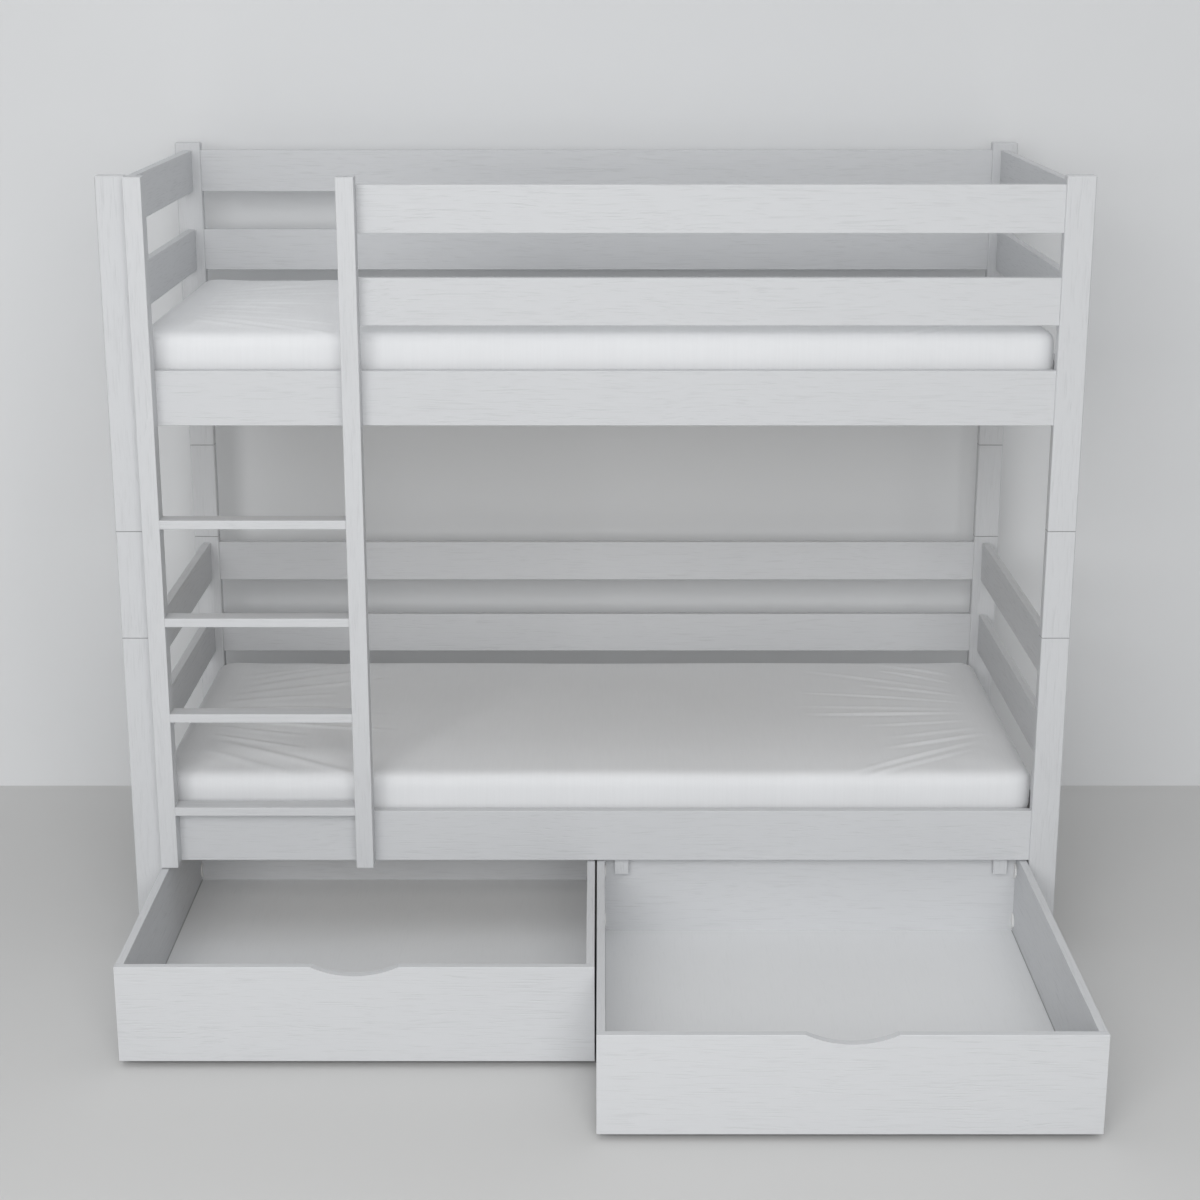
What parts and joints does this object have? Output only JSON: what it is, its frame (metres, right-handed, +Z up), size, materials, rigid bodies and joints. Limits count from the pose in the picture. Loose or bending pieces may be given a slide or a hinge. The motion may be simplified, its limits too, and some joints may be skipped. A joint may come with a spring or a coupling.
{
  "type": "bunk bed",
  "caption": "Bunk bed of painted wood with a slatted base and mattress on each level, an upright ladder at the front and roll-out drawers below.",
  "frame": {"origin": "on the floor, under the middle of the bed frame", "axes": "+X along the bed, away from the ladder; -Y the side with the ladder and the drawer fronts; +Z up"},
  "size_m": [1.9, 1.635, 1.6],
  "materials": {
    "post_paint": "light grey satin paint, upright grain",
    "board_paint": "light grey satin paint, lengthwise grain",
    "drawer_paint": "light grey satin paint",
    "bare_wood": "planed softwood",
    "mattress_cloth": "woven white cotton",
    "zinc_steel": "zinc plated",
    "white_plastic": "white plastic",
    "wheel_plastic": "dark grey plastic"
  },
  "bodies": {
    "frame": {"lower_leg_front_left": "post_paint", "lower_leg_front_right": "post_paint", "lower_leg_rear_left": "post_paint", "lower_leg_rear_right": "post_paint", "spacer_front_left": "post_paint", "spacer_front_right": "post_paint", "spacer_rear_left": "post_paint", "spacer_rear_right": "post_paint", "upper_leg_front_left": "post_paint", "upper_leg_front_right": "post_paint", "upper_leg_rear_left": "post_paint", "upper_leg_rear_right": "post_paint", "lower_end_boards_left": "board_paint", "lower_end_boards_right": "board_paint", "upper_end_boards_left": "board_paint", "upper_end_boards_right": "board_paint", "lower_rail_front": "board_paint", "lower_rail_rear": "board_paint", "upper_rail_front": "board_paint", "upper_rail_rear": "board_paint", "lower_rear_boards": "board_paint", "upper_rear_boards": "board_paint", "upper_guard_boards": "board_paint", "lower_battens": "bare_wood", "upper_battens": "bare_wood", "lower_slats": "bare_wood", "upper_slats": "bare_wood", "lower_mattress": "mattress_cloth", "upper_mattress": "mattress_cloth", "ladder_stile_left": "post_paint", "ladder_stile_right": "post_paint", "ladder_rungs": "board_paint", "ladder_screws": "zinc_steel", "bed_bolts": "zinc_steel", "post_pins": "zinc_steel"},
    "left_drawer": {"left_drawer_front": "drawer_paint", "left_drawer_side_left": "drawer_paint", "left_drawer_side_right": "drawer_paint", "left_drawer_back": "drawer_paint", "left_drawer_bottom": "drawer_paint", "left_drawer_stops": "drawer_paint", "left_drawer_covers": "white_plastic", "left_drawer_castors": "zinc_steel"},
    "left_wheel_front_left": {"left_wheel_front_left": "wheel_plastic"},
    "left_wheel_front_right": {"left_wheel_front_right": "wheel_plastic"},
    "left_wheel_rear_left": {"left_wheel_rear_left": "wheel_plastic"},
    "left_wheel_rear_right": {"left_wheel_rear_right": "wheel_plastic"},
    "right_drawer": {"right_drawer_front": "drawer_paint", "right_drawer_side_left": "drawer_paint", "right_drawer_side_right": "drawer_paint", "right_drawer_back": "drawer_paint", "right_drawer_bottom": "drawer_paint", "right_drawer_stops": "drawer_paint", "right_drawer_covers": "white_plastic", "right_drawer_castors": "zinc_steel"},
    "right_wheel_front_left": {"right_wheel_front_left": "wheel_plastic"},
    "right_wheel_front_right": {"right_wheel_front_right": "wheel_plastic"},
    "right_wheel_rear_left": {"right_wheel_rear_left": "wheel_plastic"},
    "right_wheel_rear_right": {"right_wheel_rear_right": "wheel_plastic"}
  },
  "joints": [
    {"name": "left_drawer_slide", "type": "slide", "parent": "frame", "child": "left_drawer", "axis": [0, -1, 0], "range_m": [-0.508, 0.272]},
    {"name": "left_wheel_front_left_spin", "type": "hinge", "parent": "left_drawer", "child": "left_wheel_front_left", "pos_m": [-0.844, -0.858, 0.0115], "axis": [1, 0, 0], "continuous": true},
    {"name": "left_wheel_front_right_spin", "type": "hinge", "parent": "left_drawer", "child": "left_wheel_front_right", "pos_m": [-0.048, -0.858, 0.0115], "axis": [1, 0, 0], "continuous": true},
    {"name": "left_wheel_rear_left_spin", "type": "hinge", "parent": "left_drawer", "child": "left_wheel_rear_left", "pos_m": [-0.844, -0.174, 0.0115], "axis": [1, 0, 0], "continuous": true},
    {"name": "left_wheel_rear_right_spin", "type": "hinge", "parent": "left_drawer", "child": "left_wheel_rear_right", "pos_m": [-0.048, -0.174, 0.0115], "axis": [1, 0, 0], "continuous": true},
    {"name": "right_drawer_slide", "type": "slide", "parent": "frame", "child": "right_drawer", "axis": [0, -1, 0], "range_m": [-0.78, 0]},
    {"name": "right_wheel_front_left_spin", "type": "hinge", "parent": "right_drawer", "child": "right_wheel_front_left", "pos_m": [0.048, -1.13, 0.0115], "axis": [1, 0, 0], "continuous": true},
    {"name": "right_wheel_front_right_spin", "type": "hinge", "parent": "right_drawer", "child": "right_wheel_front_right", "pos_m": [0.844, -1.13, 0.0115], "axis": [1, 0, 0], "continuous": true},
    {"name": "right_wheel_rear_left_spin", "type": "hinge", "parent": "right_drawer", "child": "right_wheel_rear_left", "pos_m": [0.048, -0.446, 0.0115], "axis": [1, 0, 0], "continuous": true},
    {"name": "right_wheel_rear_right_spin", "type": "hinge", "parent": "right_drawer", "child": "right_wheel_rear_right", "pos_m": [0.844, -0.446, 0.0115], "axis": [1, 0, 0], "continuous": true}
  ]
}
